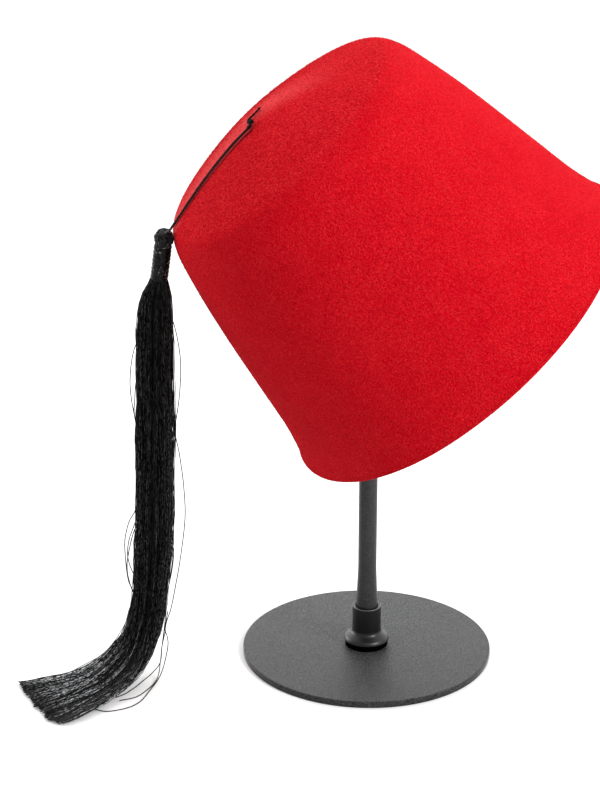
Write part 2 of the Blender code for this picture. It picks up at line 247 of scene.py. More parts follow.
def powder_coat(name, tone, grain=1.0, roughness=0.5, gloss=0.5, bare_at=None, smooth_below=-MM):
    """Black powder coat like fine sand: dark pits, pale grains, faint clouds.  bare_at is the height
    of a rubbed edge, and below smooth_below the coat has run smooth."""
    material, shader, spot = new_material(name)
    sand = noise(spot, scale=1500.0, detail=3.0, roughness=0.7)
    cloud = noise(spot, scale=32.0, detail=3.0)
    speck = fade(sand, 0.44, 0.58)
    height = split(spot)["Z"]
    face = fade(height, smooth_below, smooth_below + 0.25 * MM)
    dark, light = (tuple(t * k for t in tone) for k in (1.0 - 0.98 * grain, 1.0 + 4.5 * grain))
    colour = blend(add(mul(speck, 0.85), mul(cloud, 0.25)), dark, light)
    if bare_at is not None:
        bare = fade(calc("ABSOLUTE", sub(height, bare_at)), 0.16 * MM, 0.05 * MM)
        colour = blend(mul(bare, add(mul(cloud, 0.6), 0.5)), colour, BARE_STEEL)
    bump = out(spot.id_data, "ShaderNodeBump", {
        "Height": mul(sand, face), "Strength": grain, "Distance": 0.24 * MM})
    smoothest, roughest = roughness - 0.3 * grain + 0.04, roughness + 0.35 * grain
    feed(shader, {
        "Base Color": colour, "Specular IOR Level": gloss, "Normal": bump,
        "Roughness": fade(mul(speck, face), 0.0, 1.0, smoothest, roughest)})
    return material


LATHE = lathe()
foot_corners = [(0.0, FOOT_THICKNESS), (FOOT_RADIUS, FOOT_THICKNESS), (FOOT_RADIUS, 0.0), (0.0, 0.0)]
foot_rounding = (0.0, FOOT_EDGE, FOOT_EDGE * 0.7, 0.0)
foot_coat = powder_coat(
    "foot_coat", FOOT_BLACK, roughness=0.42, gloss=0.12, smooth_below=FOOT_THICKNESS - 0.35 * MM)
foot_plate = turn("foot_plate", round_corners(foot_corners, foot_rounding), FOOT_STEPS, foot_coat)
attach(foot_plate, "root")
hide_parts("stand_foot_plate")


# ---------------------------------- turned collar
# A small turned steel sleeve that hides the screw joint of post and plate: a straight barrel
# that opens into a bell, over a narrower ring that is near black and matte as painted shade, for
# the shadow under the bell's lip.  Coated like the plate, rubbed at its rim.
COLLAR_HEIGHT = 24.5 * MM
COLLAR_RADIUS = 7.1 * MM
COLLAR_STEPS = 96
COLLAR_BLACK = (0.0014, 0.0014, 0.0015)
BELL_RADIUS = 11.3 * MM
BELL_TOP = 8.6 * MM
BELL_LIP = 6.4 * MM
RING_TOP = 6.0 * MM
RING_RADIUS = 10.5 * MM
# Painted shade: the ring's colour, near black, for the shadow under the bell's lip.
RING_SHADE_BLACK = (0.0005, 0.0005, 0.0005)
JOINT_GAP = 0.3 * MM
POST_FOOT_RADIUS = 5.2 * MM

seat = FOOT_THICKNESS + JOINT_GAP
bore = POST_FOOT_RADIUS + JOINT_GAP
collar_corners = [
    (bore, COLLAR_HEIGHT), (COLLAR_RADIUS, COLLAR_HEIGHT), (COLLAR_RADIUS, BELL_TOP + 2.0 * MM),
    (BELL_RADIUS - 0.5 * MM, BELL_LIP + 1.5 * MM), (BELL_RADIUS, BELL_LIP), (bore, BELL_LIP - 0.3 * MM),
    (bore, COLLAR_HEIGHT)]
collar_rounding = (0.0, 0.5 * MM, 1.6 * MM, 1.0 * MM, 0.3 * MM, 0.0, 0.0)
collar_coat = powder_coat(
    "collar_coat", COLLAR_BLACK, grain=0.1, roughness=0.36, gloss=0.26, bare_at=COLLAR_HEIGHT - 0.22 * MM)
collar = turn("collar", round_corners(collar_corners, collar_rounding), COLLAR_STEPS, collar_coat)
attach(collar, "root")
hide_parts("stand_collar")

ring_profile = [
    (bore, RING_TOP), (RING_RADIUS + 0.4 * MM, RING_TOP), (RING_RADIUS, seat), (bore, seat), (bore, RING_TOP)]
# Painted shade: a matte near-black ring where the shadow under the bell's lip falls.
ring_coat = powder_coat("ring_painted_shade", RING_SHADE_BLACK, grain=0.0, roughness=0.9, gloss=0.0)
collar_ring = turn("collar_ring", ring_profile, COLLAR_STEPS, ring_coat)
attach(collar_ring, "root")


# ------------------------------------------- post
# A plain round steel rod, 9 mm thick and slightly thicker at its foot, screwed to the plate
# from below.  It carries the head inside the hat, and has the same black coat.
HEAD_UNDERSIDE = 253.8 * MM
POST_TOP_RADIUS = 4.5 * MM
POST_FLARE_HEIGHT = 48.0 * MM
POST_STEPS = 64
POST_BLACK = (0.0098, 0.0100, 0.0100)

post_top = HEAD_UNDERSIDE - JOINT_GAP
flare = [
    (POST_TOP_RADIUS + (POST_FOOT_RADIUS - POST_TOP_RADIUS) * (t * t * (3.0 - 2.0 * t)),
     POST_FLARE_HEIGHT + (COLLAR_HEIGHT - POST_FLARE_HEIGHT) * t) for t in np.linspace(0.0, 1.0, 9)]
post_profile = [
    (0.0, post_top), (POST_TOP_RADIUS, post_top), *flare, (POST_FOOT_RADIUS, seat), (0.0, seat)]
post_coat = powder_coat("post_coat", POST_BLACK, grain=0.3, roughness=0.38, gloss=0.24)
post = turn("post", post_profile, POST_STEPS, post_coat)
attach(post, "root")
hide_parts("stand_post")


# ------------------------------------- stand head
# The round head on the post that the hat hangs on, hidden inside the crown.
# A plain moulded dome in the same black; its solid already has the right shape and stays.
HEAD_BLACK = (0.03, 0.031, 0.032)

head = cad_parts["stand_head"]
head.data.materials.clear()
head.data.materials.append(powder_coat("head_coat", HEAD_BLACK, grain=0.8, roughness=0.6))


# ------------------------------------- felt crown
# The hat itself: one hood of red wool felt, steamed and pulled over a wooden block, hollow, with
# a shallow domed crown, a soft corner and a flared rim that is cut and left raw.
FELT_WALL = 2.5 * MM
RIM_RADIUS = 95.0 * MM
CROWN_RADIUS = 66.5 * MM
SIDE_HEIGHT = 124.5 * MM
DOME_HEIGHT = 16.8 * MM
DOME_POWER = 1.38
CORNER_ON_CROWN = 5.0 * MM
CORNER_ON_SIDE = 10.0 * MM
SIDE_BELLY = 2.4 * MM
RIM_FLARE = 3.2 * MM
FLARE_START = 0.78
FELT_STEPS = 220
FELT_UNEVENNESS = 0.5 * MM
PULL = 1.25
# The line that the cord lies along, in millimetres downhill and sideways from the crown's middle; the painted
# shadow and the painted sheen follow it.
CORD_LINE_FROM = (5.5, 10.6)
CORD_LINE_TO = (61.0, -8.2)
# Painted shadow of the cord: the half width of its dark core, its fading width, its strength, and the heights
# over which it and the painted sheen at the corner fade in.
CORD_SHADOW_CORE = 0.3 * MM
CORD_SHADOW_WIDTH = 2.0 * MM
CORD_SHADOW_STRENGTH = 0.9
SHADOW_AND_SHEEN_FROM = (108.0 * MM, 116.0 * MM)
# Painted sheen: paler felt on the crown beyond the cord and at the crown's corner near the knob, standing for
# light grazing the nap from behind.
PAINTED_SHEEN_WIDTH = 40.0 * MM
PAINTED_SHEEN_AHEAD = 50.0 * MM
PAINTED_SHEEN_STRENGTH = 0.72
PAINTED_SHEEN_AT_CORNER = 0.66
FELT_DEEP = (0.24, 0.0002, 0.003)
FELT_RED = (0.352, 0.0008, 0.006)
FELT_BRIGHT = (0.485, 0.018, 0.020)
# Painted sheen colour, paler and pinker than the felt.
FELT_PAINTED_SHEEN = (0.56, 0.060, 0.063)
# Painted shadow colour, for the cord's shadow on the felt.
FELT_PAINTED_SHADOW = (0.07, 0.0005, 0.002)
SHEEN_TINT = (1.0, 0.10, 0.11, 1.0)
CROWN_PULL = 0.42

hat_place = (Matrix.Translation(Vector((39.0, -7.8, 171.55)) * MM)
             @ Matrix.Rotation(math.radians(11.87), 4, "Z") @ Matrix.Rotation(-math.radians(41.65), 4, "Y"))
cord_line_start, cord_line_stop = (-np.array([*point, 0.0]) * MM for point in (CORD_LINE_FROM, CORD_LINE_TO))
cord_line = (cord_line_stop - cord_line_start) / np.linalg.norm(cord_line_stop - cord_line_start)
cord_line_normal = (cord_line[1], -cord_line[0], 0.0)


def side_point(share):
    """The hat's side on its outer face, from the crown's corner (0) to the rim (1)."""
    straight = CROWN_RADIUS + (RIM_RADIUS - RIM_FLARE - CROWN_RADIUS) * share
    belly = SIDE_BELLY * (share / 0.4)**0.8 * ((1.0 - share) / 0.6)**1.2
    flare_out = RIM_FLARE * (max(0.0, share - FLARE_START) / (1.0 - FLARE_START))**2
    return (straight + belly + flare_out, SIDE_HEIGHT * (1.0 - share))


def crown_point(share):
    """The crown's dome on its outer face, from its middle (0) to its corner (1)."""
    return (share * CROWN_RADIUS, SIDE_HEIGHT + DOME_HEIGHT * (1.0 - share**DOME_POWER))


def felt_profile():
    """Outer face from the crown's middle to the rim, the rolled cut edge, and the inner face back."""
    before, after_share = 1.0 - CORNER_ON_CROWN / CROWN_RADIUS, CORNER_ON_SIDE / SIDE_HEIGHT
    crown = [crown_point(share) for share in np.linspace(0.0, before, 26)[:-1]]
    t = np.linspace(0.0, 1.0, 11)[:, None]
    corner = (1 - t)**2 * crown_point(before) + 2 * t * (1 - t) * crown_point(1.0)
    corner = corner + t**2 * side_point(after_share)
    side = [side_point(share) for share in np.linspace(after_share, 0.985, 44)[1:]]
    outer = np.array(crown + [tuple(p) for p in corner] + side)
    along = np.gradient(outer, axis=0)
    along /= np.linalg.norm(along, axis=1)[:, None]
    inner = outer + FELT_WALL * np.stack([along[:, 1], -along[:, 0]], axis=1)
    inner[0] = (0.0, outer[0, 1] - FELT_WALL)
    half = FELT_WALL / 2.0
    turns = np.radians(np.linspace(10.0, -190.0, 12))
    edge = np.stack([RIM_RADIUS - half + half * np.cos(turns), half * 0.9 + half * np.sin(turns)], axis=1)
    return [tuple(p) for p in np.concatenate([outer, edge, inner[::-1]])]


def red_felt():
    """Dyed wool felt: matted fibres pulled along the hat, shallow pits between them, a faint bloom of
    nap; beside the cord a dark line of painted shadow, and beyond it, and at the crown's corner near
    the knob, paler felt as a painted sheen."""
    material, shader, spot = new_material("red_wool_felt")
    tree = spot.id_data
    hat = out(tree, "ShaderNodeMapping", {
        "Vector": spot, "Location": hat_place.translation, "Rotation": hat_place.to_euler(),
        "Scale": (1.0, 1.0, PULL)}, vector_type="TEXTURE")
    height = split(hat)["Z"]
    on_top = fade(height, (SIDE_HEIGHT - MM) / PULL, (SIDE_HEIGHT + 2.0 * MM) / PULL)

    bend = noise(hat, scale=150.0, channel="Color")
    bent = vector("ADD", hat, vector("SCALE", bend, 1.6 * MM))
    fibre = noise(bent, scale=2400.0, detail=1.0, roughness=0.6)
    side_mat = noise(bent, scale=1600.0, roughness=0.65)
    laid = vector("MULTIPLY", bent, (1.0, CROWN_PULL, 1.0))
    top_mat = noise(laid, scale=1650.0, roughness=0.65)
    mat = out(tree, "ShaderNodeMix", {0: on_top, 2: side_mat, 3: top_mat})
    pits = out(tree, "ShaderNodeTexVoronoi", {"Vector": bent, "Scale": 900.0}, feature="SMOOTH_F1")
    soft = noise(spot, scale=75.0, detail=3.0, roughness=0.55)
    broad = noise(spot, scale=17.0)

    fleck, tuft = fade(fibre, 0.36, 0.64), fade(mat, 0.36, 0.64)
    tone = add(mul(fleck, 0.36), mul(tuft, add(mul(on_top, 0.35), 0.27)))
    tone = sub(tone, sub(mul(on_top, 0.17), 0.09))
    patch = add(mul(soft, 0.35), mul(broad, 0.25))
    dyed = put(tree, "ShaderNodeValToRGB", {0: add(tone, mul(patch, 0.5))})
    ramp = dyed.color_ramp
    ramp.elements[0].position, ramp.elements[0].color = 0.1, (*FELT_DEEP, 1.0)
    ramp.elements[1].position, ramp.elements[1].color = 0.95, (*FELT_BRIGHT, 1.0)
    ramp.elements.new(0.5).color = (*FELT_RED, 1.0)

    start, stop = (float(np.dot(point, cord_line)) for point in (cord_line_start, cord_line_stop))
    along = vector("DOT_PRODUCT", hat, tuple(cord_line))
    across = vector("DOT_PRODUCT", hat, cord_line_normal)
    beyond = sub(across, float(np.dot(cord_line_start, cord_line_normal)))
    off_line = calc("ABSOLUTE", beyond)
    outside = fade(height, SHADOW_AND_SHEEN_FROM[0] / PULL, SHADOW_AND_SHEEN_FROM[1] / PULL)
    started = fade(along, start - MM, start + MM)
    ended = fade(along, stop + MM, stop - 2.0 * MM)
    # Painted shadow: the felt's colour is darkened in a line beside the cord, where the cord's shadow falls.
    painted_shadow = mul(
        fade(off_line, CORD_SHADOW_CORE, CORD_SHADOW_WIDTH, CORD_SHADOW_STRENGTH, 0.0, smooth=True), mul(started, ended))
    soft_end = add(mul(sub(1.0, started), 14.0 * MM), 0.9 * MM)
    # Painted sheen: paler felt beyond the cord on the crown, and at the crown's corner beside the cord's end.
    painted_sheen = mul(
        fade(beyond, CORD_SHADOW_CORE, soft_end, smooth=True), fade(beyond, PAINTED_SHEEN_WIDTH, 6.0 * MM, smooth=True))
    nearby = fade(along, start - PAINTED_SHEEN_AHEAD, start - 2.0 * MM, smooth=True)
    painted_sheen = mul(painted_sheen, mul(nearby, mul(on_top, PAINTED_SHEEN_STRENGTH)))
    at_corner = fade(along, CROWN_RADIUS - 12.0 * MM, CROWN_RADIUS - 7.0 * MM)
    beside = fade(off_line, 8.0 * MM, 2.0 * MM, 0.0, PAINTED_SHEEN_AT_CORNER, smooth=True)
    painted_sheen = calc("MAXIMUM", painted_sheen, mul(at_corner, beside, outside))
    colour = blend(painted_sheen, dyed.outputs[0], FELT_PAINTED_SHEEN)
    colour = blend(mul(painted_shadow, outside), colour, FELT_PAINTED_SHADOW)

    relief = add(mat, mul(fibre, 0.4), mul(pits, 0.5), mul(soft, 0.25))
    bump = out(tree, "ShaderNodeBump", {"Height": relief, "Strength": 1.0, "Distance": 1.1 * MM})
    feed(shader, {
        "Base Color": colour, "Roughness": 0.95, "Specular IOR Level": 0.005, "Sheen Weight": 0.18,
        "Sheen Roughness": 0.22, "Sheen Tint": SHEEN_TINT, "Normal": bump})
    return material


felt = turn("felt_crown_dressed", felt_profile(), FELT_STEPS, red_felt(), hat_place, FELT_UNEVENNESS)
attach(felt, "root")
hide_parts("felt_crown")


# --------------------------------------- felt nap
# Loose ends of the wool fibres that stand out of the felt by less than a millimetre.
# They soften its outline and its corner, and lie every way, as brushed and steamed felt does.
SIDE_NAP = (420000.0, 0.60 * MM, 0.085 * MM)  # ends per square metre, length, radius
CROWN_NAP = (900000.0, 0.60 * MM, 0.14 * MM)
NAP_SEED = 11
FIBRE_BRIGHT = (0.55, 0.014, 0.02)


def nap():
    """Scatters needle-like fibre ends over a felt surface, leaning at random."""
    tree, given = open_tree("nap", {
        "Felt": "Geometry", "Density": "Float", "Length": "Float", "Radius": "Float", "Seed": "Int",
        "Finish": "Material"})
    roots = put(tree, "GeometryNodeDistributePointsOnFaces", {
        "Mesh": given["Felt"], "Density": given["Density"], "Seed": given["Seed"]})
    lean = out(tree, "FunctionNodeRandomValue", {
        0: (-1.0, -1.0, -1.0), 1: (1.0, 1.0, 1.0), "Seed": given["Seed"]}, data_type="FLOAT_VECTOR")
    aim = vector("ADD", vector("SCALE", roots.outputs["Normal"], 0.6), lean)
    turned = out(tree, "FunctionNodeAlignRotationToVector", {"Vector": aim}, axis="Z")
    needle = out(tree, "GeometryNodeMeshCone", {
        "Vertices": 3, "Radius Top": 0.0, "Radius Bottom": given["Radius"], "Depth": given["Length"]})
    size = put(tree, "FunctionNodeRandomValue", {
        2: 0.45, 3: 1.25, "Seed": add(given["Seed"], 1.0)})
    placed = out(tree, "GeometryNodeInstanceOnPoints", {
        "Points": roots.outputs["Points"], "Instance": needle, "Rotation": turned, "Scale": size.outputs[1]})
    return close_tree(tree, placed, given["Finish"])


def wool_fibre():
    """Single wool fibres, a little paler than the mat they come from."""
    material, shader, spot = new_material("wool_fibre")
    varied = fade(noise(spot, scale=600.0, detail=1.0), 0.4, 0.6)
    feed(shader, {
        "Base Color": blend(varied, FELT_DEEP, FIBRE_BRIGHT), "Roughness": 0.8, "Specular IOR Level": 0.005})
    return material


def outer_felt(of_crown):
    """The felt's outer faces alone, of its crown or of its side, as a mesh for the nap to grow on."""
    mesh = felt.data.copy()
    inverse = hat_place.inverted()
    place = np.array([inverse @ p.center for p in mesh.polygons])
    facing = np.array([inverse.to_3x3() @ p.normal for p in mesh.polygons])
    away = place[:, 0] * facing[:, 0] + place[:, 1] * facing[:, 1] > 0.0
    crown = (facing[:, 2] > 0.4) & (place[:, 2] > SIDE_HEIGHT - FELT_WALL * 0.5)
    left_out = ~(crown if of_crown else away & ~crown)
    cut = bmesh.new()
    cut.from_mesh(mesh)
    cut.faces.ensure_lookup_table()
    bmesh.ops.delete(cut, geom=[cut.faces[i] for i in np.flatnonzero(left_out)], context="FACES")
    cut.to_mesh(mesh)
    cut.free()
    return mesh


NAP = nap()
nap_wool = wool_fibre()
for nap_name, of_crown, (density, length, radius) in (
        ("side_nap", False, SIDE_NAP), ("crown_nap", True, CROWN_NAP)):
    brushed = grow(nap_name, outer_felt(of_crown), NAP, {
        "Density": density, "Length": length, "Radius": radius, "Seed": NAP_SEED, "Finish": nap_wool})
    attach(brushed, "root")


# ------------------------------------ tassel cord
# Two thin black cords side by side, each of two twisted plies, knotted to the loop in the middle
# of the crown.  They lie on the felt under the tassel's weight and go over the crown's edge.
STRAND_RADIUS = 0.4 * MM
STRAND_APART = 0.62 * MM
STRAND_BOW = 0.9 * MM
TWISTS_PER_METRE = 330.0
PLIES = 2
PLY_SIDES = 6
PLY_SHARE = 0.56  # a ply's radius, as a share of the cord's
CORD_DARK, CORD_LIGHT = (0.0006, 0.0004, 0.0004), (0.005, 0.003, 0.003)
# Painted glint colours: pale grey on threads that lie lit on the floor, and in small spots on the knob and
# binding.
PAINTED_GLINT_GREY = (0.42, 0.43, 0.445)
PAINTED_FLECK_GREY = (0.34, 0.345, 0.35)
CORD_ROUTE = (  # millimetres downhill, sideways and down from the crown's middle
    (5.9, 8.6, 0.30), (8.4, 7.7, 0.60), (11.0, 6.8, 1.00), (16.0, 5.2, 1.75), (20.9, 3.6, 2.70),
    (25.8, 2.1, 3.80), (30.8, 0.5, 5.00), (35.7, -1.1, 6.35), (40.6, -2.7, 7.75), (45.5, -4.2, 9.20),
    (50.5, -5.8, 10.75), (55.4, -7.4, 12.40), (59.6, -8.7, 13.75), (62.6, -8.75, 14.42),
    (65.14, -8.02, 14.81))


def smooth_rows(rows, per_span):
    """A smooth curve through rows of numbers: cubic spans with slopes taken from the neighbours."""
    rows = np.array(rows, dtype=float)
    slopes = np.gradient(rows, axis=0)
    made = []
    for i in range(len(rows) - 1):
        for t in np.arange(per_span) / per_span:
            made.append((2 * t**3 - 3 * t**2 + 1) * rows[i] + (t**3 - 2 * t**2 + t) * slopes[i]
                        + (3 * t**2 - 2 * t**3) * rows[i + 1] + (t**3 - t**2) * slopes[i + 1])
    return np.array(made + [rows[-1]])


def on_crown(rows):
    """World places of (downhill, sideways, down) rows in millimetres from the crown's middle."""
    top = SIDE_HEIGHT + DOME_HEIGHT
    return [hat_place @ Vector((-downhill * MM, -side * MM, top - drop * MM))
            for downhill, side, drop in rows]


def copied(curve, amount):
    """Copies of a curve, and the number of the copy that each point is on."""
    copies = put(curve.id_data, "GeometryNodeDuplicateElements", {
        "Geometry": curve, "Amount": amount}, domain="SPLINE")
    number = out(curve.id_data, "GeometryNodeFieldOnDomain", {
        0: copies.outputs["Duplicate Index"]}, data_type="INT", domain="CURVE")
    return copies.outputs[0], number


def thicken(curve, radius, sides):
    """Gives a line the round section of a yarn, closed at its ends."""
    ring = out(curve.id_data, "GeometryNodeCurvePrimitiveCircle", {"Resolution": sides, "Radius": radius})
    return out(curve.id_data, "GeometryNodeCurveToMesh", {
        "Curve": curve, "Profile Curve": ring, "Fill Caps": True})


def plied():
    """Lays plies round a line, twisted together, as cord and yarn are."""
    tree, given = open_tree("plied", {
        "Line": "Geometry", "Plies": "Int", "Ply radius": "Float", "Ply offset": "Float", "Twists": "Float",
        "Points": "Int", "Sides": "Int", "Finish": "Material"})
    curve = out(tree, "GeometryNodeMeshToCurve", {"Mesh": given["Line"]})
    fine = out(tree, "GeometryNodeResampleCurve", {"Curve": curve, "Count": given["Points"]})
    copies, number = copied(fine, given["Plies"])
    length = put(tree, "GeometryNodeSplineParameter").outputs["Length"]
    turns = add(mul(length, given["Twists"]), calc("DIVIDE", number, given["Plies"]))
    spun = out(tree, "ShaderNodeVectorRotate", {
        "Vector": out(tree, "GeometryNodeInputNormal"),
        "Axis": out(tree, "GeometryNodeInputTangent"),
        "Angle": mul(turns, 2.0 * math.pi)}, rotation_type="AXIS_ANGLE")
    offset = vector("SCALE", spun, given["Ply offset"])
    laid = out(tree, "GeometryNodeSetPosition", {"Geometry": copies, "Offset": offset})
    return close_tree(tree, thicken(laid, given["Ply radius"], given["Sides"]), given["Finish"])


def black_thread(name, dark, light, roughness, glint, by_thread=False, glint_flecks=0.0):
    """Black viscose yarn, near black with a silky gloss.  The attribute "pale" sets a painted glint,
    a pale grey base colour on threads lying lit on the floor; "place" runs along each thread, and the
    last argument is the strength of painted glints in small pale spots."""
    material, shader, spot = new_material(name)
    tree = spot.id_data
    pale = put(tree, "ShaderNodeAttribute", attribute_name="pale").outputs["Fac"]
    if by_thread:
        place = put(tree, "ShaderNodeAttribute", attribute_name="place").outputs["Vector"]
        streak = noise(place, scale=1.0, detail=1.0, roughness=0.6)
    else:
        streak = noise(spot, scale=620.0, roughness=0.7)
    fluff = noise(spot, scale=2600.0)
    broken = fade(streak, 0.43, 0.62)
    # Painted glints: the pale grey base colour on threads that lie lit on the floor, broken along each
    # thread.
    painted_glint_share = mul(pale, add(mul(broken, 0.96), 0.04))
    # Painted glints: small pale grey spots in the base colour, as strong as the last argument sets.
    painted_flecks = fade(noise(spot, scale=900.0, detail=1.0, roughness=0.6), 0.6, 0.72, 0.0, glint_flecks)
    where = fade(noise(spot, scale=210.0, detail=0.0), 0.46, 0.6)
    colour = blend(painted_glint_share, blend(broken, dark, light), PAINTED_GLINT_GREY)
    bump = out(tree, "ShaderNodeBump", {"Height": fluff, "Strength": 0.3, "Distance": 0.05 * MM})
    feed(shader, {
        "Base Color": blend(mul(painted_flecks, where), colour, PAINTED_FLECK_GREY), "Specular IOR Level": glint,
        "Roughness": fade(fluff, 0.0, 1.0, roughness - 0.1, roughness + 0.15), "Normal": bump})
    return material


PLIED = plied()
cord_yarn = black_thread("cord_yarn", CORD_DARK, CORD_LIGHT, roughness=0.55, glint=0.05)


def twisted(name, points, radius, twists, count, finish=cord_yarn):
    """A twisted cord of the given outer radius along world points."""
    ply = radius * PLY_SHARE
    return grow(name, line_mesh(name, points), PLIED, {
        "Plies": PLIES, "Ply radius": ply, "Ply offset": radius - ply, "Twists": twists, "Points": count,
        "Sides": PLY_SIDES, "Finish": finish})


route = smooth_rows(CORD_ROUTE, per_span=2)
heading = np.gradient(route[:, :2], axis=0)
heading /= np.linalg.norm(heading, axis=1)[:, None]
half_gap = (STRAND_APART + STRAND_BOW * np.sin(np.pi * np.linspace(0.0, 1.0, len(route)))) / MM
for strand_name, strand_node, sign in (
        ("cord_near", "cord_strand_near", 1.0), ("cord_far", "cord_strand_far", -1.0)):
    shifted = route.copy()
    shifted[:, 0] -= sign * heading[:, 1] * half_gap
    shifted[:, 1] += sign * heading[:, 0] * half_gap
    strand_points = on_crown(shifted)
    strand = twisted(strand_name, strand_points, STRAND_RADIUS, TWISTS_PER_METRE, count=190)
    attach(strand, "root")
    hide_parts(strand_node)


# ---------------------------------- loop and knot
# The stub of yarn that comes through the middle of the crown and turns over into a hook, and
# the small tight knot that ties the cord to it, whipped with a few turns of thinner yarn.
LOOP_RADIUS = 0.55 * MM
LOOP_ROUTE = (
    (-3.3, 1.1, -0.62), (-1.3, 2.0, -0.76), (0.9, 2.4, -0.74), (2.9, 1.9, -0.64),
    (4.6, 2.3, -0.42), (5.3, 3.9, -0.22), (5.0, 5.6, -0.10), (4.3, 7.3, -0.10))
KNOT_PLACE = (4.0, 8.3, -0.85)
KNOT_RADIUS = 1.45 * MM
KNOT_YARN = 0.46 * MM
WHIP_FROM = (4.7, 8.75, -0.15)
WHIP_TO = (7.0, 8.05, 0.38)
WHIP_TURNS = 4
WHIP_WIDTH = 1.05
WHIP_DEPTH = 0.55
WHIP_YARN = 0.30 * MM

loop = twisted("loop", on_crown(smooth_rows(LOOP_ROUTE, per_span=3)), LOOP_RADIUS, twists=300.0, count=60)
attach(loop, "root")
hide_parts("crown_loop")

turns = np.linspace(0.0, 2.0 * math.pi, 73)
reach = 0.66 + 0.34 * np.cos(3.0 * turns)
knot_line = (KNOT_RADIUS - KNOT_YARN) * np.stack([
    reach * np.cos(2.0 * turns), reach * np.sin(2.0 * turns), 0.62 * np.sin(3.0 * turns)], axis=1)
knot_place = Matrix.Translation(on_crown((KNOT_PLACE,))[0]) @ hat_place.to_3x3().to_4x4()
knot = twisted("cord_knot", [knot_place @ Vector(p) for p in knot_line], KNOT_YARN, twists=320.0, count=120)
whip_turn = np.linspace(0.0, WHIP_TURNS * 2.0 * math.pi, 90)
whip_share = np.linspace(0.0, 1.0, 90)
whip_line = np.outer(1.0 - whip_share, WHIP_FROM) + np.outer(whip_share, WHIP_TO)
whip_line += (np.outer(np.cos(whip_turn) * WHIP_WIDTH, (0.2, 1.0, 0.0))
              + np.outer(np.sin(whip_turn) * WHIP_DEPTH, (0.0, 0.0, 1.0)))
whip = twisted("cord_whipping", on_crown(whip_line), WHIP_YARN, twists=300.0, count=130)
for part in (knot, whip):
    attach(part, "root")


# ------------------------------------ tassel knob
# The ball at the tassel's top: a small wooden bead covered by the yarn, which is laid over it
# from the top, close together, and gathered below it into the neck; a thicker yarn is
# wound over it, turn across turn.
KNOB_CENTRE = Vector((-94.35, -31.2, 221.15)) * MM
NECK_END = Vector((-97.2, -26.5, 201.3)) * MM
KNOB_RADIUS = 4.1 * MM
KNOB_YARNS = 58
KNOB_YARN_RADIUS = 0.22 * MM
KNOB_YARN_REACH = 118.0  # degrees from the top over which the yarn lies on the bead
KNOB_SEED = 5
NECK_RADIUS = 3.35 * MM
NECK_ROOT = 3.8 * MM
WRAP_YARN = 0.62 * MM
WRAP_REACH = 4.1 * MM
WRAP_TURNS = 7
WRAP_LEAN, WRAP_SWING = 62.0, 12.0  # degrees by which a turn leans, and by which that varies
WRAP_STEP = 0.41  # sets how far each turn is carried on round the bead
WRAP_SHIFT = (0.0, -0.3, 0.1)
TASSEL_DARK, TASSEL_LIGHT = (0.0002, 0.0002, 0.0002), (0.0155, 0.0152, 0.0148)
KNOB_DARK, KNOB_LIGHT = (0.0004, 0.0004, 0.0004), (0.007, 0.007, 0.0068)

tassel_turn = (KNOB_CENTRE - NECK_END).to_track_quat("Z", "Y")
tassel_place = Matrix.Translation(KNOB_CENTRE) @ tassel_turn.to_matrix().to_4x4()


def meridians():
    """Copies one yarn round the Z axis, with a slow twist and small differences."""
    tree, given = open_tree("meridians", {
        "Yarn": "Geometry", "Yarns": "Int", "Radius": "Float", "Sway": "Float", "Seed": "Int",
        "Finish": "Material"})
    curve = out(tree, "GeometryNodeMeshToCurve", {"Mesh": given["Yarn"]})
    copies, number = copied(curve, given["Yarns"])
    share = put(tree, "GeometryNodeSplineParameter").outputs["Factor"]
    jitter = put(tree, "FunctionNodeRandomValue", {
        2: -1.0, 3: 1.0, "ID": number, "Seed": given["Seed"]}).outputs[1]
    angle = mul(calc("DIVIDE", number, given["Yarns"]), 2.0 * math.pi)
    angle = add(angle, mul(add(share, mul(jitter, 0.12)), given["Sway"]))
    spun = out(tree, "ShaderNodeVectorRotate", {
        "Vector": out(tree, "GeometryNodeInputPosition"), "Angle": angle}, rotation_type="Z_AXIS")
    laid = out(tree, "GeometryNodeSetPosition", {"Geometry": copies, "Position": spun})
    return close_tree(tree, thicken(laid, given["Radius"], 5), given["Finish"])


def over_bead(radius, first, count):
    """Points of a half circle (radius, height) from near the top of the bead to where the neck begins."""
    angles = np.radians(np.linspace(first, KNOB_YARN_REACH, count))
    return [(radius * math.sin(a), radius * math.cos(a)) for a in angles]


tassel_yarn = black_thread(
    "tassel_yarn", TASSEL_DARK, TASSEL_LIGHT, roughness=0.32, glint=0.035, by_thread=True)
# The knob's yarn, also wound on the binding, carries painted glints as small pale spots.
knob_yarn = black_thread("knob_yarn", KNOB_DARK, KNOB_LIGHT, roughness=0.18, glint=0.16, glint_flecks=0.4)
yarn_line = over_bead(KNOB_RADIUS, 9.0, 20) + [
    (NECK_RADIUS + 0.25 * MM, -NECK_ROOT + 0.6 * MM), (NECK_RADIUS, -NECK_ROOT - 0.8 * MM),
    (NECK_RADIUS - 0.1 * MM, -NECK_ROOT - 3.0 * MM)]
knob = grow("tassel_knob", line_mesh("knob_yarn", [(x, 0.0, z) for x, z in yarn_line]), meridians(), {
    "Yarns": KNOB_YARNS, "Radius": KNOB_YARN_RADIUS, "Sway": 0.35, "Seed": KNOB_SEED,
    "Finish": knob_yarn}, tassel_place)

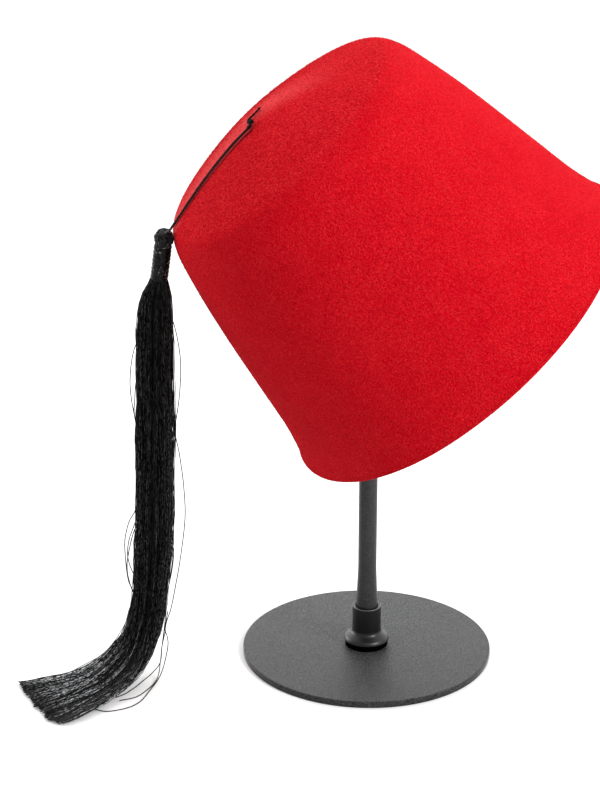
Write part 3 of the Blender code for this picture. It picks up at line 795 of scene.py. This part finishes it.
wrap = np.linspace(0.0, 2.0 * math.pi * WRAP_TURNS, 260)
lean = np.radians(WRAP_LEAN + WRAP_SWING * np.sin(wrap * 0.37))
carry = wrap * (1.0 + 1.0 / WRAP_TURNS) * WRAP_STEP
x, y, z = np.cos(wrap), np.sin(wrap) * np.cos(lean), np.sin(wrap) * np.sin(lean)
wrap_line = np.stack([
    x * np.cos(carry) - y * np.sin(carry), x * np.sin(carry) + y * np.cos(carry), z], axis=1)
wrap_line *= (WRAP_REACH + 0.16 * MM * np.sin(wrap * 2.7))[:, None]
wrap_place = Matrix.Translation(Vector(WRAP_SHIFT) * MM) @ tassel_place
wrap_points = [wrap_place @ Vector(p) for p in wrap_line]
wraps = twisted("knob_wraps", wrap_points, WRAP_YARN, twists=260.0, count=480, finish=knob_yarn)

neck_length = (KNOB_CENTRE - NECK_END).length
bead_profile = over_bead(KNOB_RADIUS - 0.1 * MM, 0.0, 18) + [
    (NECK_RADIUS, -NECK_ROOT), (NECK_RADIUS - 0.3 * MM, -neck_length), (0.0, -neck_length - 1.0 * MM)]
bead = turn("tassel_bead", bead_profile, steps=48, finish=tassel_yarn, place=tassel_place)
for part in (knob, wraps, bead):
    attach(part, "root")


# --------------------------------- tassel binding
# The sleeve that holds the neck: fine black yarn wound round it fifty times, close and even,
# with a few turns laid back across it before the end is tucked in.
BINDING_TOP = 3.9 * MM
BINDING_RADIUS = 4.0 * MM
BINDING_YARN = 0.17 * MM
BINDING_TURNS = 50
BINDING_SLACK = 0.07 * MM


def winding():
    """Winds yarn round Z as a spiral, first close and then a few open turns across it."""
    tree, given = open_tree("winding", {
        "Base": "Geometry", "Turns": "Int", "Radius": "Float", "Yarn radius": "Float", "Height": "Float",
        "Slack": "Float", "Finish": "Material"})
    both = put(tree, "GeometryNodeJoinGeometry")
    for share, lift, back in ((1.0, 0.0, False), (0.16, 1.2, True)):
        radius = add(given["Radius"], mul(given["Yarn radius"], lift))
        spiral = out(tree, "GeometryNodeCurveSpiral", {
            "Resolution": 26, "Rotations": mul(given["Turns"], share), "Start Radius": radius,
            "End Radius": radius, "Height": given["Height"], "Reverse": back})
        slack = put(tree, "ShaderNodeTexNoise", {"Scale": 700.0, "Detail": 1.0}, normalize=False)
        shift = vector("SCALE", slack.outputs["Color"], given["Slack"])
        uneven = out(tree, "GeometryNodeSetPosition", {"Geometry": spiral, "Offset": shift})
        tree.links.new(thicken(uneven, given["Yarn radius"], 5), both.inputs[0])
    return close_tree(tree, both.outputs[0], given["Finish"])


binding_place = tassel_place @ Matrix.Translation((0.0, 0.0, -neck_length))
binding = grow("binding_turns", line_mesh("binding", [(0.0, 0.0, 0.0), (0.0, 0.0, MM)]), winding(), {
    "Turns": BINDING_TURNS, "Radius": BINDING_RADIUS - BINDING_YARN, "Yarn radius": BINDING_YARN,
    "Height": neck_length - BINDING_TOP, "Slack": BINDING_SLACK, "Finish": knob_yarn}, binding_place)
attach(binding, "root")
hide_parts("tassel_binding")


# --------------------------------- tassel threads
# The skirt: some hundreds of long black viscose threads folded over the bead and bound at the neck.
# They hang together in loose locks to the floor, turn over there and fan out to their cut ends.
FAN_ACROSS = Vector((-0.62, 0.78, 0.0)).normalized()
SKIRT_COLUMNS = ("x", "y", "z", "spread", "depth", "lock")  # in millimetres
SKIRT = (
    (-97.2, -26.5, 202.6, 1.6, 1.6, 1.7), (-97.4, -26.3, 199.8, 1.7, 1.7, 2),
    (-97.8, -25.9, 196.9, 2.9, 2.6, 2.5), (-98.4, -25.8, 193, 3.9, 3.5, 2.8),
    (-99.2, -25.8, 186, 4.8, 4.1, 3.1), (-99.9, -25.5, 166, 5.6, 4.6, 3.2),
    (-100.5, -25, 141.5, 5.6, 4.8, 3.2), (-101.3, -24.5, 116.5, 6.3, 5, 3.4), (-102.1, -24, 91, 6, 5, 3.3),
    (-103.3, -23.5, 70, 6.3, 4.8, 3.3), (-104.8, -23.2, 49, 5.8, 4.5, 3.2),
    (-106.4, -23.1, 35.5, 5.8, 4.2, 3.2), (-109.2, -24, 24, 6.6, 3.8, 3.1),
    (-112.7, -26.6, 15.5, 7.7, 3, 3), (-117.9, -31, 9.8, 9.8, 1.8, 2.9), (-124, -37.1, 6.2, 11.2, 0.8, 2.7),
    (-131.8, -44.3, 4, 13.5, 0, 2.4), (-141.5, -51.4, 3, 17, 0, 2), (-150.6, -55.8, 2.2, 21.1, 0, 1.3),
    (-160.6, -60.6, 1.2, 24.9, 0, 0.45))
FAN_TURN = math.radians(-10.4)
FAN_BEGINS = 0.8  # share of the thread's length
THREADS = 640
LOCKS = 40
THREAD_RADIUS = 0.20 * MM
THREAD_POINTS = 52
THREAD_SEED = 7
LOOSE_THREADS = 44
LOOSE_RADIUS = 0.18 * MM
LOOSE_POINTS = 64
LOOSE_SEED = 23
THREAD_DASHES = 640.0  # changes of shade along a metre of thread
GOLDEN_ANGLE = 2.399963


def hanging():
    """Hangs threads along a guide line, gathered in locks, from a round bundle to a ragged flat fan."""
    tree, given = open_tree("hanging", {
        "Guide": "Geometry", "Threads": "Int", "Locks": "Int", "Thread radius": "Float", "Points": "Int",
        "Hollow": "Float", "Lock size": "Float", "Wander": "Float", "Waviness": "Float", "Ragged": "Float",
        "Dashes": "Float", "Across": "Vector", "Seed": "Int", "Finish": "Material"})
    guide = out(tree, "GeometryNodeMeshToCurve", {"Mesh": given["Guide"]})
    one = out(tree, "GeometryNodeResampleCurve", {
        "Curve": out(tree, "GeometryNodeCurvePrimitiveLine"), "Count": given["Points"]})
    many, number = copied(one, given["Threads"])
    share, length, _ = put(tree, "GeometryNodeSplineParameter").outputs
    lock = calc("MODULO", number, given["Locks"])
    member = calc("FLOOR", calc("DIVIDE", number, given["Locks"]))

    def random(low, high, key, step):
        """A random number for each key."""
        return put(tree, "FunctionNodeRandomValue", {
            2: low, 3: high, "ID": key, "Seed": add(given["Seed"], step)}).outputs[1]

    def sunflower(index, count, turn_by, hollow=None):
        """Even places in a disc, as the seeds in a sunflower, from a hollow middle outward."""
        area = calc("DIVIDE", add(index, 0.5), count)
        if hollow:
            area = add(hollow, mul(area, sub(1.0, hollow)))
        radius, angle = calc("SQRT", area), add(mul(index, GOLDEN_ANGLE), turn_by)
        return mul(radius, calc("COSINE", angle)), mul(radius, calc("SINE", angle))

    def drift(key, scale, step):
        """Slow sideways wandering along a thread, different for each key."""
        wave = put(tree, "ShaderNodeTexNoise", {
            "Vector": join(mul(share, scale), mul(key, 7.31), step), "Scale": 1.0, "Detail": 1.0},
            normalize=False)
        return split(wave.outputs["Color"])

    lock_places = sunflower(lock, given["Locks"], 0.0, given["Hollow"])
    own_places = sunflower(member, calc("DIVIDE", given["Threads"], given["Locks"]), lock)
    short = add(
        random(0.0, 0.75, lock, 1.0), random(0.0, 0.4, number, 2.0), mul(lock_places[0], lock_places[0], 0.5))
    along = mul(share, sub(1.0, mul(short, given["Ragged"])))
    sampled = put(tree, "GeometryNodeSampleCurve", {
        "Curves": guide, "Factor": along,
        "Value": out(tree, "GeometryNodeInputNamedAttribute", {"Name": "girth"}, data_type="FLOAT_VECTOR")},
        data_type="FLOAT_VECTOR", mode="FACTOR", use_all_curves=True)
    girth = split(sampled.outputs["Value"])
    across = out(tree, "ShaderNodeVectorRotate", {
        "Vector": given["Across"], "Angle": girth[2]}, rotation_type="Z_AXIS")
    through = vector("CROSS_PRODUCT", sampled.outputs["Tangent"], across)
    size = mul(given["Lock size"], fade(share, 0.8, 1.0, 1.0, 0.8, smooth=True), random(0.7, 1.25, lock, 3.0))
    grown = fade(share, 0.0, 0.12)
    lock_drift, own_drift = drift(lock, 6.0, 3.7), drift(number, 19.0, 9.1)
    placed = sampled.outputs["Position"]
    for side, direction in enumerate((across, through)):
        aside = add(
            lock_places[side], mul(own_places[side], size), mul(lock_drift[side], given["Wander"], grown),
            mul(own_drift[side], given["Waviness"], grown))
        placed = vector("ADD", placed, vector("SCALE", direction, mul(aside, girth[side])))
    x, y, z = split(placed)
    placed = join(x, y, calc("MAXIMUM", z, mul(given["Thread radius"], 1.3)))
    laid = out(tree, "GeometryNodeSetPosition", {"Geometry": many, "Position": placed})

    # Painted glints: threads that lie on the floor, lit from above, get a pale grey base colour, varied by
    # thread and by lock and dropping off at the cut tips.
    lying = fade(share, 0.72, 0.92, 0.12, 1.0, smooth=True)
    grey = fade(random(0.0, 1.0, number, 4.0), 0.42, 0.95)
    bunch = fade(random(0.0, 1.0, lock, 5.0), 0.1, 0.6, 0.45, 1.2)
    pale = mul(lying, mul(grey, bunch), fade(share, 0.955, 0.99, 1.0, 0.1))
    laid = out(tree, "GeometryNodeStoreNamedAttribute", {"Geometry": laid, "Name": "pale", "Value": pale})
    place = join(mul(length, given["Dashes"]), mul(number, 3.7), mul(lock, 1.9))
    laid = out(tree, "GeometryNodeStoreNamedAttribute", {
        "Geometry": laid, "Name": "place", "Value": place}, data_type="FLOAT_VECTOR")
    return close_tree(tree, thicken(laid, given["Thread radius"], 3), given["Finish"])


def guide_of_skirt():
    """The middle line of the skirt, with its half width, half depth and the fan's turn at each point."""
    skirt = dict(zip(SKIRT_COLUMNS, smooth_rows(SKIRT, per_span=3).T * MM))
    guide = line_mesh("skirt_guide", np.stack([skirt["x"], skirt["y"], skirt["z"]], axis=1))
    across, through = (skirt[half] + skirt["lock"] - THREAD_RADIUS for half in ("spread", "depth"))
    down = np.linspace(0.0, 1.0, len(across))
    turned = FAN_TURN * np.clip((down - FAN_BEGINS) / (1.0 - FAN_BEGINS), 0.0, 1.0)**2
    girth = np.stack([across, through, turned], axis=1).astype(np.float32)
    guide.attributes.new("girth", "FLOAT_VECTOR", "POINT").data.foreach_set("vector", girth.ravel())
    return guide


HANGING = hanging()
threads = grow("tassel_threads", guide_of_skirt(), HANGING, {
    "Threads": THREADS, "Locks": LOCKS, "Thread radius": THREAD_RADIUS, "Points": THREAD_POINTS,
    "Hollow": 0.12, "Lock size": 0.17, "Wander": 0.12, "Waviness": 0.085, "Ragged": 0.022,
    "Dashes": THREAD_DASHES,
    "Across": tuple(FAN_ACROSS), "Seed": THREAD_SEED, "Finish": tassel_yarn})
loose = grow("tassel_loose_threads", guide_of_skirt(), HANGING, {
    "Threads": LOOSE_THREADS, "Locks": LOOSE_THREADS, "Thread radius": LOOSE_RADIUS, "Points": LOOSE_POINTS,
    "Hollow": 0.88, "Lock size": 0.0, "Wander": 0.24, "Waviness": 0.05, "Ragged": 0.05,
    "Dashes": THREAD_DASHES,
    "Across": tuple(FAN_ACROSS), "Seed": LOOSE_SEED, "Finish": tassel_yarn})
for part in (threads, loose):
    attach(part, "root")
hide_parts("tassel")


# ---------------------------------- stray threads
# Single threads that have slipped out of the bundle: they bow out beside it, cross its front, and
# one runs to the floor and back under the fan in a wide loop.  Each row of places is one thread.
STRAY_RADIUS = 0.24 * MM
STRAY_THREADS = (
    ((-106.5, -27, 178), (-107.1, -27, 173.2), (-109.6, -27, 166.9), (-111.2, -27, 159.1),
     (-111.9, -27, 150.3), (-111.4, -27, 142.4), (-110.6, -27, 136.5), (-108.8, -27, 124)),
    ((-106.3, -24, 165), (-108.3, -24, 155.1), (-109.6, -24, 148.7), (-110.2, -24, 141.3),
     (-110.5, -24, 133.4), (-107.8, -24, 118)),
    ((-93.5, -27, 190), (-91.8, -27, 182.3), (-90.7, -27, 178.5), (-89.2, -27, 170.7), (-88.3, -27, 162),
     (-88.5, -27, 152.2), (-89.4, -27, 142.4), (-90.8, -27, 133.5), (-93, -27, 120)),
    ((-95, -27, 137), (-92, -27, 127.5), (-91, -27, 122.5), (-89.9, -27, 116.5), (-89, -27, 109.4),
     (-88.2, -27, 101.3), (-87.6, -27, 89), (-88.1, -27, 78.7), (-90.2, -27, 63.1), (-92.8, -27, 48.4),
     (-95.4, -27, 35.6), (-97.5, -27.5, 29.2), (-98.4, -28, 24.3), (-97.6, -28, 21.1), (-97.2, -28.2, 16.9),
     (-98.2, -29, 11), (-99.8, -31, 5), (-101.8, -34, 1.2), (-104.7, -42.5, 0.3), (-108.4, -53.9, 0.3),
     (-112.2, -59.5, 0.3), (-117.4, -63, 0.3), (-124, -65, 0.3), (-128.9, -63.7, 0.5),
     (-133.5, -61.5, 0.9)),
    ((-102.2, -34.2, 179), (-102.4, -34.6, 175.2), (-103, -34.6, 170.4), (-104.3, -34.6, 161.7),
     (-103.8, -34.7, 155.9), (-101.6, -34.8, 150.1), (-99.1, -34.7, 143.2), (-96.7, -34, 136.3),
     (-95.4, -33, 127.4)),
    ((-107.5, -27, 101), (-109.8, -27, 93.1), (-111.4, -27, 86.4), (-114.4, -27, 80.8), (-116.6, -27, 71.5),
     (-116.6, -27, 61), (-115.6, -27, 50.5), (-113.5, -27, 44.7), (-109.8, -27, 34)),
    ((-107.8, -33.4, 93), (-109.4, -33.8, 87.8), (-111.5, -33.8, 81.7), (-114, -33.8, 74.5),
     (-114.9, -33.8, 67.2), (-113.9, -33.8, 61), (-111.3, -33.8, 54.7), (-107.6, -33.8, 49.5),
     (-104.4, -33.8, 44.2), (-101.8, -33.2, 32)),
    ((-107.8, -25, 89), (-109.8, -25, 80.9), (-112.5, -25, 74.7), (-114.7, -25, 66.4), (-116.2, -25, 56.9),
     (-115, -25, 47.4), (-110.5, -25, 34)),
    ((-95.5, -27, 101), (-94.2, -27, 92.1), (-92.9, -27, 88), (-92.7, -27, 83.9), (-94, -27, 77.7),
     (-96, -27, 68)),
    ((-96.2, -27, 80), (-94.7, -27, 71.5), (-93.6, -27, 65.2), (-94.2, -27, 57.9), (-95.6, -27, 50.5),
     (-98, -27, 40)),
    ((-97, -27, 34), (-98.5, -28, 25.4), (-98.6, -28.3, 22.8), (-100.1, -29, 16.2), (-100.9, -30.5, 9),
     (-102.2, -33.5, 1.8), (-105.2, -41, 0.3), (-111, -50.5, 0.3), (-119, -55, 0.6)),
    ((-97.6, -27, 36), (-99, -28, 24.3), (-100.1, -29, 16.2), (-101.2, -30, 7.6), (-105.2, -32.5, 3.2),
     (-108.6, -35.4, 1.2), (-112.4, -40.9, 0.3), (-116.7, -47.6, 0.3), (-120.9, -51.9, 0.6)))


def loose_lines():
    """Thickens every separate line of a mesh to a thread."""
    tree, given = open_tree("loose_lines", {"Lines": "Geometry", "Radius": "Float", "Finish": "Material"})
    curve = out(tree, "GeometryNodeMeshToCurve", {"Mesh": given["Lines"]})
    return close_tree(tree, thicken(curve, given["Radius"], 5), given["Finish"])


stray_lines = [smooth_rows(thread, per_span=5) * MM for thread in STRAY_THREADS]
for line in stray_lines:
    line[:, 2] = np.maximum(line[:, 2], STRAY_RADIUS + 0.05 * MM)
strays = grow("tassel_stray_threads", line_mesh("stray_lines", *stray_lines), loose_lines(), {
    "Radius": STRAY_RADIUS, "Finish": tassel_yarn})
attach(strays, "root")


# ------------------------ floor, camera and light
# Not part of the object: a plain white floor, soft studio light from the upper right and the
# white room round it, dimmer on the camera's side, and the camera at the photograph's own place.
FLOOR_REACH = 6.0
PAPER_WHITE = (0.56, 0.56, 0.56, 1.0)
CAMERA_PLACE = (-0.0332, -0.8997, 0.4596)
CAMERA_TILT = math.radians(70.026)
CAMERA_LENS = 90.0
ROOM_LIGHT = 1.83
ROOM_FADE = 0.65
SOFTBOXES = {  # place, the height that it faces, size and power
    "key_light": ((1.08, -0.86, 1.04), 0.2, 0.5, 34.0),
    "left_light": ((-1.24, 0.76, 0.45), 0.2, 0.6, 10.5),
    "back_light": ((0.0, 0.95, 1.25), 0.15, 0.6, 5.0),
    "front_light": ((0.2, -1.35, 1.25), 0.15, 0.14, 3.0)}

floor_mesh = bpy.data.meshes.new("floor")
floor_corners = [(x * FLOOR_REACH, y * FLOOR_REACH, 0.0) for x, y in ((-1, -1), (1, -1), (1, 1), (-1, 1))]
floor_mesh.from_pydata(floor_corners, [], [(0, 1, 2, 3)])
floor = show("floor", floor_mesh)
paper = bpy.data.materials.new("white_paper")
paper.use_nodes = True
feed(paper.node_tree.nodes["Principled BSDF"], {
    "Base Color": PAPER_WHITE, "Roughness": 0.9, "Specular IOR Level": 0.0})
floor_mesh.materials.append(paper)

camera = show("camera", bpy.data.cameras.new("camera"))
camera.data.sensor_width = 36.0
camera.data.lens = CAMERA_LENS
camera.location = CAMERA_PLACE
camera.rotation_euler = (CAMERA_TILT, 0.0, 0.0)
bpy.context.scene.camera = camera

for light_name, (place, faced, size, power) in SOFTBOXES.items():
    lamp = bpy.data.lights.new(light_name, "AREA")
    lamp.size, lamp.energy = size, power
    softbox = show(light_name, lamp)
    softbox.location = place
    softbox.rotation_euler = (Vector((0.0, 0.0, faced)) - Vector(place)).to_track_quat("-Z", "Y").to_euler()

world = bpy.data.worlds.new("white_room")
bpy.context.scene.world = world
world.use_nodes = True
depth = split(put(world.node_tree, "ShaderNodeTexCoord").outputs["Generated"])["Y"]
feed(world.node_tree.nodes["Background"], {
    "Color": (1.0, 1.0, 1.0, 1.0),
    "Strength": fade(depth, -1.0, 1.0, ROOM_LIGHT * (1.0 - ROOM_FADE), ROOM_LIGHT * (1.0 + ROOM_FADE))})
bpy.context.scene.view_settings.view_transform = "Standard"
